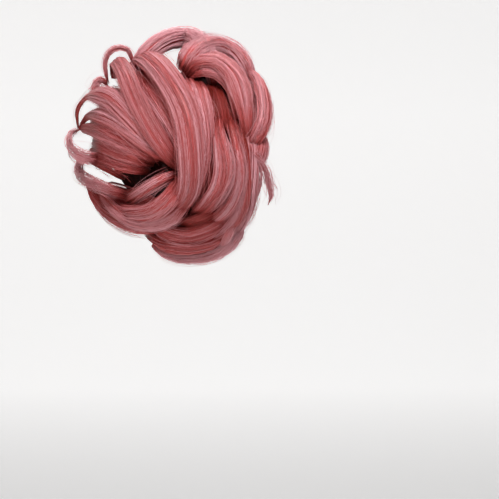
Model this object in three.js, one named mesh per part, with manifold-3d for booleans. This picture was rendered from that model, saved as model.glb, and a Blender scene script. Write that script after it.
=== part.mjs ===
// Chignon hairpiece: a messy bun of false hair sewn round an elastic band.
// Millimetres, +Z up. The origin is the middle of the elastic, and the bun stands out along -Y.
import * as THREE from "three";
import { mergeVertices } from "three/addons/utils/BufferGeometryUtils.js";
import Module from "manifold-3d";

const wasm = await Module();
wasm.setup();

// Bun
const CENTRE_DEPTH = 12; // from the elastic forward to the bun's centre
const BACK_FLATTEN = 0.4; // depth behind the centre, as a share of the depth in front
const GAP = 0.3; // clearance between neighbouring pieces

// Under-layer of hair
const CORE_REACH = 46; // outer radius
const CORE_SWELL = 8; // how much fuller the sides are
const SWELL_POLAR = { start: 60, full: 95, end: 115, gone: 140 }; // polar angles of the fuller part
const TOP_NOTCH = { clock: 97, half: 30 }; // the part at the top that isn't fuller, in degrees
const CORE_HOLLOW = 35; // inner radius
const CORE_FLUTES = 10; // twisted bundles round the cup
const FLUTE_DEPTH = 1.5;
const FLUTE_TWIST = 50; // degrees that a bundle turns from front to base
const CORE_FRONT = 12; // polar angle of the front edge
const CORE_BASE = 140; // polar angle of the outer base edge
const HOLLOW_BASE = 126; // polar angle of the inner base edge
const CORE_SIDES = 30;
const OUTER_STEPS = 7;
const INNER_STEPS = 5;

// Open front, a lying oval below the middle
const FRONT_GAP = { x: 0, z: -18, halfWidth: 24, halfHeight: 14, sides: 32 };

// Elastic
const ELASTIC_RADIUS = 26.6; // to the middle of the cord
const ELASTIC_CORD = 1.8; // radius of the cord
const ELASTIC_SEGMENTS = 30;
const CORD_SIDES = 6;

// Locks
const FACING = 38; // degrees round from the bun's front to the side that the locks are laid out on
const VIEW_RISE = 3; // degrees that this side is seen from above
const VIEW_DISTANCE = 1300; // from which it is seen
const DEPTH_STEP = 0.5; // in the search for a point's depth
const DEPTH_LIMIT = 90;
const RISE_POWER = 3; // how soon a lock reaches its crest
const LOCK_SIDES = 6;
const STEP_LENGTH = 19; // along a lock, between sections
const FEWEST_STEPS = 5;
const END_SHARE = 0.45; // width of a lock's end, as a share of its full width
const SLIM_PART = { end: 0.2, full: 0.5 }; // shares of the length where a slim start ends and is full width
const SECTION_POWER = 0.9; // below 1 the section is fuller than an ellipse
const MERGE_DISTANCE = 1e-4; // points nearer than this are one

// One row for each lock, with its stations from start to end.
// across and height say where a station is seen from the facing side, or from the row's own side in degrees.
// crest is the lock's reach from the bun's centre along its middle and root its reach at both ends.
// slim is the size of a slim start, as a share of the full section.
const LOCKS = [
  { name: "front_sweep_1", crest: 72, root: 58, width: 16, thick: 8,
    across: [-33, -25, -12, 1, 5, 4, -8], height: [50, 57, 46, 22, -5, -28, -46] },
  { name: "front_sweep_2", crest: 69, root: 55, width: 10, thick: 7,
    across: [2, 7, 11, 12.5, 11, 7, 0], height: [44, 34, 18, 2, -14, -28, -42] },
  { name: "front_sweep_3", crest: 70, root: 58, width: 12, thick: 6.5,
    across: [-44.8, -43.8, -38, -31, -21.5, -11, -3], height: [43, 52.5, 47.5, 30, 11, -5, -15] },
  { name: "front_sweep_4", crest: 67, root: 54, width: 8, thick: 5,
    across: [9, 13, 15.5, 16, 14], height: [42, 33, 18, 5, -6] },
  { name: "front_sweep_5", crest: 64, root: 53, width: 14, thick: 7,
    across: [-28, -24, -16, -8, -2, 1], height: [46, 36, 24, 10, -3, -15] },
  { name: "side_sweep_1", crest: 70, root: 57, slim: 0.5, width: 18, thick: 7,
    across: [42.5, 41.5, 39, 33, 21, 7, 0], height: [-5, 10, 28, 45, 55, 54, 44] },
  { name: "side_sweep_2", crest: 66, root: 53, width: 10, thick: 6,
    across: [2, 10, 22, 31.5, 36, 39], height: [42, 48, 46.5, 37.5, 22, 8] },
  { name: "side_sweep_3", crest: 69, root: 53, slim: 0.55, width: 13, thick: 7,
    across: [21, 22.5, 25.5, 27, 24, 17, 7], height: [30, 11, -3, -15, -27, -37, -46] },
  { name: "side_sweep_4", crest: 68, root: 53, slim: 0.55, width: 10, thick: 7,
    across: [28, 31, 34.5, 36.5, 35.5, 31, 22, 9], height: [30, 13, -1, -15, -26, -38, -47, -51] },
  { name: "side_sweep_5", crest: 68, root: 56, slim: 0.6, width: 10, thick: 6,
    across: [33, 36.5, 40, 41, 40, 35, 24, 8, -8], height: [24, 11, -3, -18, -33, -47, -58, -63, -61] },
  { name: "side_sweep_6", crest: 66, root: 56, width: 11, thick: 7,
    across: [42, 44, 45, 44, 42, 37, 28], height: [18, 5, -10, -25, -40, -52, -62] },
  { name: "side_sweep_7", crest: 66, root: 58, width: 10, thick: 6,
    across: [46, 51, 49, 42], height: [13, 0, -9, -18] },
  { name: "side_arch_1", crest: 71, root: 58, width: 12, thick: 6.5,
    across: [38, 47, 52, 52.5, 48, 41], height: [50, 44, 31, 16, 5, -3] },
  { name: "side_arch_2", crest: 65, root: 56, width: 6, thick: 4,
    across: [42, 45, 47, 44, 41], height: [40, 30, 20, 10, 2] },
  { name: "fan_lock_1", crest: 69, root: 62, slim: 0.4, width: 13, thick: 5.5,
    across: [-68, -68.5, -64, -55.5, -45, -34, -24, -14], height: [11, 23, 29.5, 32.5, 28.5, 17, 5.5, -5] },
  { name: "fan_lock_2", crest: 67, root: 60, slim: 0.65, width: 11, thick: 5.5,
    across: [-67.5, -63.5, -54, -43, -31, -20, -8], height: [10.5, 17, 19, 14.5, 5.5, -3, -10] },
  { name: "fan_lock_3", crest: 65, root: 57, slim: 0.75, width: 12, thick: 5.5,
    across: [-66, -60, -50, -39, -27, -15], height: [11, 10.5, 7.5, 2, -3, -9] },
  { name: "fan_lock_4", crest: 64, root: 54, slim: 1.3, width: 11, thick: 5.5,
    across: [-57.5, -51, -42, -31, -19], height: [3, 0.5, -4, -8, -12] },
  { name: "fan_lock_5", crest: 62, root: 53, slim: 1.3, width: 10, thick: 5.5,
    across: [-58, -51, -42, -32, -22], height: [-4, -7.5, -11.5, -14.5, -17] },
  { name: "fan_lock_6", crest: 61, root: 54, width: 5, thick: 4,
    across: [-61, -54, -46, -38], height: [-9, -12.5, -17, -22] },
  { name: "rim_loop_1", crest: 70, root: 60, width: 3.4, thick: 3.2,
    across: [-48, -50, -47, -41.5, -36, -32], height: [39.5, 52, 59.5, 62.2, 61, 51] },
  { name: "rim_loop_2", crest: 66, root: 58, width: 6, thick: 5,
    across: [-51, -55.5, -56, -52.5, -48.5], height: [29, 33.5, 39.5, 42, 38] },
  { name: "rim_loop_3", crest: 75, root: 55, width: 4.5, thick: 4,
    across: [-64, -71, -73.5, -70, -62, -53], height: [11, 9, 2, -4.5, -8, -6] },
  { name: "rim_loop_4", crest: 69, root: 54, width: 5.5, thick: 5,
    across: [-51, -61, -67, -67, -61, -53, -43, -33], height: [-12, -9, -11.5, -17.5, -22.5, -26, -30, -33] },
  { name: "lower_sweep_1", crest: 66, root: 55, width: 7, thick: 5,
    across: [-2, -14, -27, -40], height: [-17, -22, -30, -39] },
  { name: "lower_sweep_2", crest: 67, root: 58, width: 14, thick: 7,
    across: [0, -8, -19, -32, -45], height: [-20, -34, -43, -45, -39] },
  { name: "lower_sweep_3", crest: 67, root: 56, width: 12, thick: 7,
    across: [4, -6, -21, -36, -47, -53], height: [-30, -46, -51, -48, -39, -30] },
  { name: "lower_sweep_4", crest: 67, root: 60, width: 11, thick: 7,
    across: [-62, -57.5, -49, -38, -27, -14], height: [-23, -34, -44.5, -51, -54, -55] },
  { name: "bottom_sweep_1", crest: 70, root: 60, width: 14, thick: 8,
    across: [30, 20, 5, -10, -23], height: [-54, -63, -66.5, -65, -58] },
  { name: "bottom_sweep_2", crest: 71, root: 62, width: 15, thick: 9,
    across: [37, 34, 22, 4, -11, -20], height: [-48, -60, -69.5, -72.5, -70.5, -64] },
  { name: "bottom_sweep_3", crest: 71, root: 64, width: 6, thick: 5,
    across: [36, 30, 24, 16], height: [-45, -57, -66, -72] },
  { name: "bottom_sweep_4", crest: 60, root: 50, width: 18, thick: 8,
    across: [31, 19, 6, -8], height: [-34, -46, -51, -52] },
  { name: "top_arch_1", crest: 70.5, root: 56, width: 17, thick: 13,
    across: [-31, -27, -19, -8, 3, 12, 18, 20], height: [44, 54.5, 63, 68.5, 69.5, 65, 53, 40] },
  { name: "top_arch_2", crest: 72, root: 60, width: 17, thick: 8,
    across: [-1, 4, 13, 23.5, 32.5, 40, 45], height: [48, 58, 65, 65.5, 62, 54, 42] },
  { name: "top_arch_3", side: 218, crest: 66, root: 56, width: 14, thick: 8,
    across: [-6, -14, -25, -35], height: [53, 61, 58, 46] },
  { name: "wisp_1", crest: 70, root: 63, width: 3.5, thick: 3,
    across: [41, 47, 52, 55, 57, 55], height: [-3, -6, -14, -24, -33, -39] },
  { name: "under_sweep_1", crest: 59, root: 47, width: 17, thick: 9,
    across: [14, 21, 24, 25], height: [42, 29, 14, 0] },
  { name: "under_sweep_2", crest: 58, root: 47, width: 15, thick: 9,
    across: [17, 16, 14, 8], height: [8, -10, -26, -40] },
  { name: "under_sweep_3", crest: 60, root: 48, width: 16, thick: 9,
    across: [-35, -30, -22, -10], height: [47, 42, 30, 12] },
  { name: "under_sweep_4", crest: 62, root: 55, width: 14, thick: 8,
    across: [-58, -52, -42, -28], height: [-27, -36, -42, -45] },
  { name: "under_sweep_5", crest: 60, root: 50, width: 15, thick: 8,
    across: [42, 46, 47, 43], height: [40, 28, 14, 0] },
  { name: "under_sweep_6", crest: 57, root: 53, width: 12, thick: 8,
    across: [0, 7, 14, 20], height: [39, 48, 51, 46] },
  { name: "under_sweep_7", crest: 65, root: 60, width: 20, thick: 8,
    across: [34, 20, 4, -10, -20], height: [-44, -54, -59, -57, -52] },
  { name: "rear_sweep_1", side: -62, crest: 56, root: 47, width: 18, thick: 9,
    across: [34, 10, -14, -28], height: [38, 46, 44, 26] },
  { name: "rear_sweep_2", side: -62, crest: 57, root: 47, width: 18, thick: 9,
    across: [46, 26, 2, -18, -26], height: [24, 28, 26.5, 16, -4] },
  { name: "rear_sweep_3", side: -62, crest: 57, root: 47, width: 17, thick: 9,
    across: [48, 26, 2, -18, -28], height: [6, 14, 11, -2, -22] },
  { name: "rear_sweep_4", side: -62, crest: 57, root: 47, width: 17, thick: 9,
    across: [40, 22, 4, -14, -22], height: [-38, -34.5, -38, -46, -55] },
  { name: "rear_sweep_5", side: -62, crest: 59, root: 56, width: 16, thick: 9,
    across: [32, 16, -2, -14], height: [-44, -47, -53, -57] },
  { name: "rear_sweep_6", side: -62, crest: 57, root: 47, width: 10, thick: 8,
    across: [36, 24, 10, -6, -14], height: [-11, -7, -8, -9, -11] },
  { name: "back_sweep_1", side: 180, crest: 60, root: 51, width: 17, thick: 9,
    across: [-2, 16, 36, 50, 54], height: [40, 38, 30, 16, -4] },
  { name: "back_sweep_2", side: 180, crest: 61, root: 52, width: 17, thick: 9,
    across: [54, 46, 24, -4], height: [0, -28, -48, -56] },
  { name: "back_sweep_3", side: 180, crest: 61, root: 52, width: 17, thick: 9,
    across: [-2, -28, -46, -54], height: [-58, -50, -30, -4] },
  { name: "back_sweep_4", side: 180, crest: 61, root: 52, width: 17, thick: 9,
    across: [-54, -50, -34, -6], height: [0, 26, 46, 51] },
];

// Colours
const HAIR = { color: 0xb4707a, roughness: 0.55 };
const CORE_HAIR = { color: 0x8a4a4c, roughness: 0.65 };
const ELASTIC = { color: 0x5a2f30, roughness: 0.85 };

// A point of the bun, from its angles and its reach from the centre.
function bunPoint(clock, polar, reach) {
  const c = THREE.MathUtils.degToRad(clock);
  const p = THREE.MathUtils.degToRad(polar);
  const forward = Math.cos(p) > 0 ? Math.cos(p) : Math.cos(p) * BACK_FLATTEN;
  const across = Math.sin(p);
  const offset = new THREE.Vector3(across * Math.cos(c), -forward, across * Math.sin(c));
  return offset.multiplyScalar(reach).add(new THREE.Vector3(0, -CENTRE_DEPTH, 0));
}

// A closed solid through rings of points. joined runs the last ring back to the first;
// otherwise both ends are capped.
function loft(rings, joined) {
  const sides = rings[0].length;
  const index = [];
  const last = joined ? rings.length : rings.length - 1;
  for (let r = 0; r < last; r++) {
    const here = r * sides;
    const next = ((r + 1) % rings.length) * sides;
    for (let s = 0; s < sides; s++) {
      const t = (s + 1) % sides;
      index.push(here + s, next + s, here + t, here + t, next + s, next + t);
    }
  }
  if (!joined) {
    const end = (rings.length - 1) * sides;
    for (let s = 1; s < sides - 1; s++) {
      index.push(0, s, s + 1);
      index.push(end, end + s + 1, end + s);
    }
  }
  const geometry = new THREE.BufferGeometry().setFromPoints(rings.flat());
  geometry.setIndex(index);
  return geometry;
}

// The solid of a geometry, turned to face out.
function solid(geometry) {
  const bare = new THREE.BufferGeometry();
  bare.setAttribute("position", geometry.getAttribute("position"));
  bare.setIndex(geometry.index);
  const merged = mergeVertices(bare, MERGE_DISTANCE);
  const mesh = { numProp: 3, vertProperties: merged.attributes.position.array, triVerts: merged.index.array };
  const made = new wasm.Manifold(new wasm.Mesh(mesh));
  if (made.volume() > 0) return made;
  mesh.triVerts = merged.index.array.slice().reverse();
  return new wasm.Manifold(new wasm.Mesh(mesh));
}

// The largest body of a solid, as a named mesh.
function piece(name, made, colour) {
  const bodies = made.decompose().sort((a, b) => b.volume() - a.volume());
  const mesh = bodies[0].getMesh();
  const geometry = new THREE.BufferGeometry();
  geometry.setAttribute("position", new THREE.BufferAttribute(mesh.vertProperties, mesh.numProp));
  geometry.setIndex(new THREE.BufferAttribute(mesh.triVerts, 1));
  const named = new THREE.Mesh(geometry, new THREE.MeshStandardMaterial(colour));
  named.name = name;
  return named;
}

// How much fuller the under-layer is at these angles.
function swell(clock, polar) {
  const { start, full, end, gone } = SWELL_POLAR;
  const band = THREE.MathUtils.smoothstep(polar, start, full) - THREE.MathUtils.smoothstep(polar, end, gone);
  const away = Math.abs(THREE.MathUtils.euclideanModulo(clock - TOP_NOTCH.clock + 180, 360) - 180);
  return CORE_SWELL * band * THREE.MathUtils.smoothstep(away, TOP_NOTCH.half / 2, TOP_NOTCH.half);
}

// The under-layer: a hollow cup with twisted bundles on its outside. grow swells its outside for clearance.
function core(grow) {
  const rings = [];
  for (let i = 0; i <= OUTER_STEPS; i++) {
    const share = i / OUTER_STEPS;
    const polar = THREE.MathUtils.lerp(CORE_FRONT, CORE_BASE, share);
    const depth = FLUTE_DEPTH * Math.sin(Math.PI * share);
    const ring = [];
    for (let s = 0; s < CORE_SIDES; s++) {
      const clock = (360 * s) / CORE_SIDES;
      const turn = THREE.MathUtils.degToRad(CORE_FLUTES * (clock + FLUTE_TWIST * share));
      const reach = CORE_REACH + swell(clock, polar) + depth * Math.cos(turn) + grow;
      ring.push(bunPoint(clock, polar, reach));
    }
    rings.push(ring);
  }
  for (let i = 0; i <= INNER_STEPS; i++) {
    const polar = THREE.MathUtils.lerp(HOLLOW_BASE, CORE_FRONT, i / INNER_STEPS);
    const ring = [];
    for (let s = 0; s < CORE_SIDES; s++) {
      ring.push(bunPoint((360 * s) / CORE_SIDES, polar, CORE_HOLLOW));
    }
    rings.push(ring);
  }
  return solid(loft(rings, true));
}

// The open front, as a tool to cut the cup with.
function frontOpening() {
  const oval = new THREE.Shape();
  oval.absellipse(FRONT_GAP.x, FRONT_GAP.z, FRONT_GAP.halfWidth, FRONT_GAP.halfHeight, 0, 2 * Math.PI);
  const cut = new THREE.ExtrudeGeometry(oval, {
    depth: CORE_REACH * 2,
    bevelEnabled: false,
    curveSegments: FRONT_GAP.sides,
  });
  cut.rotateX(Math.PI / 2);
  cut.translate(0, -CENTRE_DEPTH, 0);
  return solid(cut);
}

// How far an offset reaches from the bun's centre, counted on the flattened back as in front.
function reachOf(offset) {
  const y = offset.y > 0 ? offset.y / BACK_FLATTEN : offset.y;
  return Math.hypot(offset.x, y, offset.z);
}

// The nearest point at a reach that is seen at across and height from a side; the outline if it lies beyond.
function station(side, across, height, reach) {
  const turn = THREE.MathUtils.degToRad(side);
  const rise = THREE.MathUtils.degToRad(VIEW_RISE);
  const right = new THREE.Vector3(Math.cos(turn), Math.sin(turn), 0);
  const back = new THREE.Vector3(Math.sin(turn), -Math.cos(turn), 0).multiplyScalar(Math.cos(rise));
  back.z = Math.sin(rise);
  const up = new THREE.Vector3().crossVectors(back, right);
  const flat = right.multiplyScalar(across).addScaledVector(up, height);
  let found = null;
  let closest = null;
  for (let depth = -DEPTH_LIMIT; depth <= DEPTH_LIMIT; depth += DEPTH_STEP) {
    const offset = flat.clone().multiplyScalar(1 - depth / VIEW_DISTANCE).addScaledVector(back, depth);
    if (reachOf(offset) <= reach) found = offset;
    if (!closest || reachOf(offset) < reachOf(closest)) closest = offset;
  }
  return (found ?? closest).add(new THREE.Vector3(0, -CENTRE_DEPTH, 0));
}

// The middle line of a lock.
function lockCurve(row) {
  const last = row.across.length - 1;
  const stations = row.across.map((across, i) => {
    const rise = 1 - Math.abs((2 * i) / last - 1) ** RISE_POWER;
    const reach = THREE.MathUtils.lerp(row.root, row.crest, rise);
    return station(row.side ?? FACING, across, row.height[i], reach);
  });
  return new THREE.CatmullRomCurve3(stations);
}

// The way out of the bun along a lock, carried without twist from its middle to both ends.
function lockUps(points, tangents) {
  const ups = [];
  const middle = Math.floor(points.length / 2);
  const level = (up, tangent) => up.clone().addScaledVector(tangent, -up.dot(tangent)).normalize();
  const outward = points[middle].clone().sub(new THREE.Vector3(0, -CENTRE_DEPTH, 0));
  ups[middle] = level(outward, tangents[middle]);
  for (let i = middle + 1; i < points.length; i++) ups[i] = level(ups[i - 1], tangents[i]);
  for (let i = middle - 1; i >= 0; i--) ups[i] = level(ups[i + 1], tangents[i]);
  return ups;
}

// The size of a lock's section at a share of its length.
function fullness(row, share) {
  const ends = END_SHARE + (1 - END_SHARE) * Math.sqrt(Math.abs(Math.sin(Math.PI * share)));
  const filled = THREE.MathUtils.smoothstep(share, SLIM_PART.end, SLIM_PART.full);
  return ends * THREE.MathUtils.lerp(row.slim ?? 1, 1, filled);
}

// A lock: a flattened round section swept along its line, narrower at the ends. grow swells it for clearance.
function lock(row, grow) {
  const curve = lockCurve(row);
  const steps = Math.max(FEWEST_STEPS, Math.round(curve.getLength() / STEP_LENGTH));
  const points = curve.getSpacedPoints(steps);
  const tangents = points.map((point, i) => curve.getTangentAt(i / steps));
  const ups = lockUps(points, tangents);
  points[0].addScaledVector(tangents[0], -grow);
  points[steps].addScaledVector(tangents[steps], grow);
  const rings = points.map((point, i) => {
    const across = new THREE.Vector3().crossVectors(ups[i], tangents[i]);
    const full = fullness(row, i / steps);
    const halfWidth = (row.width / 2) * full + grow;
    const halfThick = (row.thick / 2) * full + grow;
    const ring = [];
    for (let s = 0; s < LOCK_SIDES; s++) {
      const turn = (2 * Math.PI * s) / LOCK_SIDES;
      const sideways = halfWidth * Math.sign(Math.cos(turn)) * Math.abs(Math.cos(turn)) ** SECTION_POWER;
      const upward = halfThick * Math.sign(Math.sin(turn)) * Math.abs(Math.sin(turn)) ** SECTION_POWER;
      ring.push(point.clone().addScaledVector(across, sideways).addScaledVector(ups[i], upward));
    }
    return ring;
  });
  return solid(loft(rings, false));
}

const chignon = new THREE.Group();

// Elastic band
const band = new THREE.TorusGeometry(ELASTIC_RADIUS, ELASTIC_CORD, CORD_SIDES, ELASTIC_SEGMENTS);
band.rotateX(Math.PI / 2);
chignon.add(piece("elastic_band", solid(band), ELASTIC));

// Under-layer
const opening = frontOpening();
chignon.add(piece("hair_core", core(0).subtract(opening), CORE_HAIR));

// Locks, the outer ones first: each is cut clear of the core and of those above it
const coreRoom = core(GAP);
const room = [];
const order = [...LOCKS].sort((a, b) => b.crest - a.crest);
for (const row of order) {
  const whole = lock(row, 0);
  let made = whole.subtract(coreRoom);
  for (const above of room) made = made.subtract(above);
  room.push(lock(row, GAP).add(whole));
  chignon.add(piece(row.name, made, HAIR));
}

export default chignon;
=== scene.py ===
import math

import bpy
import numpy as np
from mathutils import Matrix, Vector


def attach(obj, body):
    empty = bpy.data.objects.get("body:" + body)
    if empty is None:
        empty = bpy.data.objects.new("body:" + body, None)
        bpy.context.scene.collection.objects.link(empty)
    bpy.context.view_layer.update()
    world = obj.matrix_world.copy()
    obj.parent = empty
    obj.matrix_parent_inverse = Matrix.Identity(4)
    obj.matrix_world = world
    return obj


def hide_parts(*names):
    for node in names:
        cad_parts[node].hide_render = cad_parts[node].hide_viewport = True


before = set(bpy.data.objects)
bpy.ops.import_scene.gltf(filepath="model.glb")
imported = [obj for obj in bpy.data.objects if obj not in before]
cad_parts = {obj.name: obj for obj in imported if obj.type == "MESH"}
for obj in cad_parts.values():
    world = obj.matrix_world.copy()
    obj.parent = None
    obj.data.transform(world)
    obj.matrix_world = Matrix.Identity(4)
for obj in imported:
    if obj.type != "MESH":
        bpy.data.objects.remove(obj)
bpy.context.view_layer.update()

MM = 0.001
FULL_TURN = 2 * math.pi
TINY = 1e-9

# Bun, in millimetres and degrees, as in the part's source
CENTRE = np.array([0.0, -12.0, 0.0])
BACK_FLATTEN = 0.4  # depth behind the centre, as a share of the depth in front
CORE_REACH = 46.0  # outer radius of the under-layer
CORE_SWELL = 8.0  # how much fuller its sides are
SWELL_POLAR = {"start": 60.0, "full": 95.0, "end": 115.0, "gone": 140.0}
TOP_NOTCH = {"clock": 97.0, "half": 30.0}  # the part at the top that isn't fuller
CORE_HOLLOW = 35.0  # inner radius
CORE_FRONT = 12.0  # polar angle of the front edge
CORE_BASE = 140.0  # polar angle of the outer base edge
HOLLOW_BASE = 126.0  # polar angle of the inner base edge
CORE_FLUTES = 10  # twisted bundles round the cup
FLUTE_DEPTH = 1.5
FLUTE_TWIST = 50.0  # degrees that a bundle turns from front to base
FRONT_GAP = {"x": 0.0, "z": -18.0, "half_width": 24.0, "half_height": 14.0}  # the open front
ELASTIC_RADIUS = 26.6  # to the middle of the cord
ELASTIC_CORD = 1.8  # radius of the cord

# Form of a lock, as in the part's source
FACING = 38  # degrees round from the bun's front to the side that the locks are laid out on
VIEW_RISE = 3.0  # degrees that this side is seen from above
VIEW_DISTANCE = 1300.0  # from which it is seen
DEPTH_STEP = 0.5  # in the search for how far a point lies along the line of sight
DEPTH_LIMIT = 90.0
RISE_POWER = 3  # how soon a lock reaches its crest
END_SHARE = 0.45  # width of a lock's end, as a share of its full width
SLIM_PART = {"end": 0.2, "full": 0.5}  # shares of the length where a slim start ends and is full width
SECTION_POWER = 0.9  # below 1 the section is fuller than an ellipse
CURVE_STEPS = 401  # along a lock's line, to measure it
FRAME_STEPS = 161  # along a lock's line, at even steps of its length

# Strands: lengths in millimetres, angles in radians, other values as shares of the lock or its section
LOCK_SEED = 100
HAIR_RADIUS = 0.16
RADIUS_SPREAD = (0.7, 1.3)
TUBE_SIDES = 3
TIP = {"least": 0.3, "growth": 7.0}  # radius at a strand's tip, and how fast it grows from there
STATION_LENGTH = 8.5
FEWEST_STATIONS = 10
MOST_STATIONS = 28
RAGGED = 0.07  # the part of a lock over which its strands begin and end
CLEFT_RAGGED = 0.22  # the same at a start that comes out of a cleft
CLEFT_KINDS = ("front", "parted")
NEAR_END = 0.16  # the part of a lock that counts as near its end
STRAND_PAINTED_LIGHT = (0.45, 1.0)  # painted light at a lock's ends and along its middle; painted shade at the ends
SLIM_MOST = 0.6  # a lock with a start as slim as this gets painted shade there
SLIM_PAINTED_SHADE = (0.06, 0.40)  # where its painted shade is deepest and where its tone is full
STRAND = {
    "unrest": 0.025,  # up and down along a strand
    "unrest_pace": (0.4, 1.6),
    "tone": 0.14,  # spread from strand to strand
}
RIBBON = {
    "fewest": 5,
    "fewest_showing": 3,
    "showing": 0.7,  # those on the side that shows
    "past_edge": 0.2,  # how far they go round the lock's edges
    "inside_edge": 0.5,  # how far the others keep from its edges
    "drift": 0.07,  # from even spacing
    "width": (0.55, 1.25),  # over even spacing
    "swing": 0.10,  # to either side along the lock
    "swing_pace": 0.8,
    "pinch": 0.35,  # how its strands draw together and apart along the lock
    "pinch_pace": (0.3, 1.2),
    "reach": 0.98,
    "rounding": 0.10,  # how much lower its edges lie
    "edge_painted_shade": 0.14,  # how much deeper its edges are: painted shade between ribbons
}
STRAY = {
    "turn": 0.5,  # round the section, away from its ribbon
    "turn_pace": (0.3, 0.8),
    "lift": (0.02, 0.22),  # off the lock
    "bow": 0.7,  # below 1 it rises soon
    "radius": 0.65,  # over the other strands'
}
OPEN_KINDS = ("loop", "crown")  # their strands lie at several depths of the section
OPEN_FILL = (0.5, 1.0)
FUZZ = {
    "fill": (0.2, 1.25),  # its strands lie at all depths, and past the section
    "wave": 0.3,
    "wave_pace": (0.5, 1.5),
    "end": 0.25,  # size at the ends
    "loose": 3.0,  # times as many loose hairs
    "loose_lift": 1.3,  # times as high
    "loose_sway": 1.4,  # in place of the loose hairs' own sway
}
BODY = {
    "fewest_rings": 14,
    "ring_length": 4.0,
    "sides": 16,
    # the dense middle has a deep tint, as painted shade between the strands
    "tint": 0.3,
    "depth": (0.35, 0.75),  # painted light of its tone at the ends and along the middle: painted shade, most at the ends
}

# Loose hairs, in the same units
LOOSE = {
    "seed": 900,
    "per_mm": 0.31,  # for each millimetre of a lock
    "stations": 12,
    "radius": 0.10,
    "radius_spread": (0.7, 1.2),
    "last_start": 0.6,
    "length": (0.5, 1.0),  # over the rest of the lock
    "past_edge": 0.1,
    "turn": 0.35,
    "turn_pace": (0.4, 1.0),
    "lift": (1.6, 0.55),  # shape and scale of its gamma spread
    "bow": (0.7, 1.0),  # below 1 its tip stands off too
    "sway": 0.8,  # to either side along it
    "sway_pace": (0.5, 1.6),
    "splay": 5.0,  # from one side of the lock to the other
    "tint": (0.62, 0.15),  # mean and spread
}

# Strands of the under-layer, with angles in degrees
CORE_SEED = 77
CORE_RADIUS_SPREAD = (0.8, 1.3)
WOUND = {
    "count": 520,
    "stations": 26,
    "edge": 1.0,  # from the front edge to the strands' start
    "stray": 2.0,  # to either side of the twist
    "height": (-0.3, 0.5),  # above the wall
    "radius": 1.15 * HAIR_RADIUS,
    # low tints and painted light: painted shade on the under-layer inside the bun
    "tint": (0.4, 0.18),
    "depth": (0.05, 0.65),
    "rows": (0.0, 0.5),
}
GAP_RIM = {
    "spread": 0.14,  # of the strands round the open front, over its size
    "nearest": 0.05,  # to its middle, over its size
    "height": 0.2,  # above the under-layer
    "least_room": 1.0,  # squared depth left at the outline
}
INSIDE = {
    "count": 260,
    "stations": 14,
    "front": 62.0,  # polar angle where the strands start
    "twist": 30.0,
    "stray": 3.0,
    "height": (-0.1, 0.4),  # inward from the wall
    "radius": 1.2 * HAIR_RADIUS,
    # low tints and painted light: painted shade on the hollow's wall
    "tint": (0.35, 0.16),
    "depth": 0.05,
    "rows": (0.51, 0.7),
}
# The dense wall: a deep tint and low painted light, as painted shade
WALL = {"tint": 0.2, "depth": 0.05, "rows": (0.72, 0.99)}

# Covered elastic
COVER = {"rings": 220, "sides": 18, "ribs": 110, "slant": 2, "mean": 0.97, "rib": 0.05, "rows": (0.01, 0.99)}

# Streak map: its scales along and round the pieces, and where the bodies start on it
FLOW_LENGTH = 100.0  # millimetres along a lock for each unit
STRAND_FLOW = 7.3  # from the deepest strand to the palest
BODY_FLOW = {"round": 630.0, "start": 10.0}
WALL_FLOW = {"polar": 0.5, "clock": 2.0, "twist_over": 130.0, "start": 20.0}
COVER_FLOW = {"length": 1.78, "round": 10.0}

# Bake map: each strand has a strip of its own, each end a small triangle
MAP_EDGE = 0.01
STRAND_ROWS = (0.0, 0.72)
BODY_ROWS = (0.75, 0.99)
LOOSE_ROWS = (0.0, 0.99)
STRIP_MARGIN = 0.08
SIDE_STRIP = (1 - 2 * STRIP_MARGIN) / TUBE_SIDES
CAP_MAP = {"width": 0.004, "height": 0.2}
FAN_MAP = (0.4, 0.5)

# Looks of the hair: colours from deep to pale, for each strand's own tone and for painted shade and light
HAIR_LOOK = {
    "deep": (0.22, 0.016, 0.009),
    "middle": (0.54, 0.091, 0.088),
    "pale": (0.87, 0.46, 0.51),
    "roughness": 0.36,
    "specular": 0.28,
}
# The same hair in deeper colours for the under-layer: a copy of the look in painted shade
SHADED_LOOK = {
    "deep": (0.05, 0.008, 0.006),
    "middle": (0.16, 0.03, 0.028),
    "pale": (0.42, 0.12, 0.12),
    "roughness": 0.6,
    "specular": 0.1,
}
RAMP = {"deep": 0.08, "middle": 0.5, "pale": 0.95}
# shares of a strand's ramp level from its own tint and from painted light and shade
TONE_PARTS = {"tint": 0.55, "depth": 0.45}
STREAK = {"along": 6.0, "across": 130.0, "detail": 3.0, "roughness": 0.6, "tone": 0.5}
ROUGHNESS_SPREAD = (-0.08, 0.1)
HAIR_BUMP = {"strength": 0.35, "distance": 0.0004}
SHEEN = {"weight": 0.02, "roughness": 0.4, "tint": (1.0, 0.86, 0.88)}

# Looks of the elastic
ELASTIC_DEEP = (0.055, 0.018, 0.02)
ELASTIC_PALE = (0.16, 0.06, 0.066)
ELASTIC_ROUGHNESS = 0.8
WEAVE = {"scale": 38.0, "distortion": 1.2}
WEAVE_BUMP = {"strength": 0.4, "distance": 0.0003}

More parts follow.
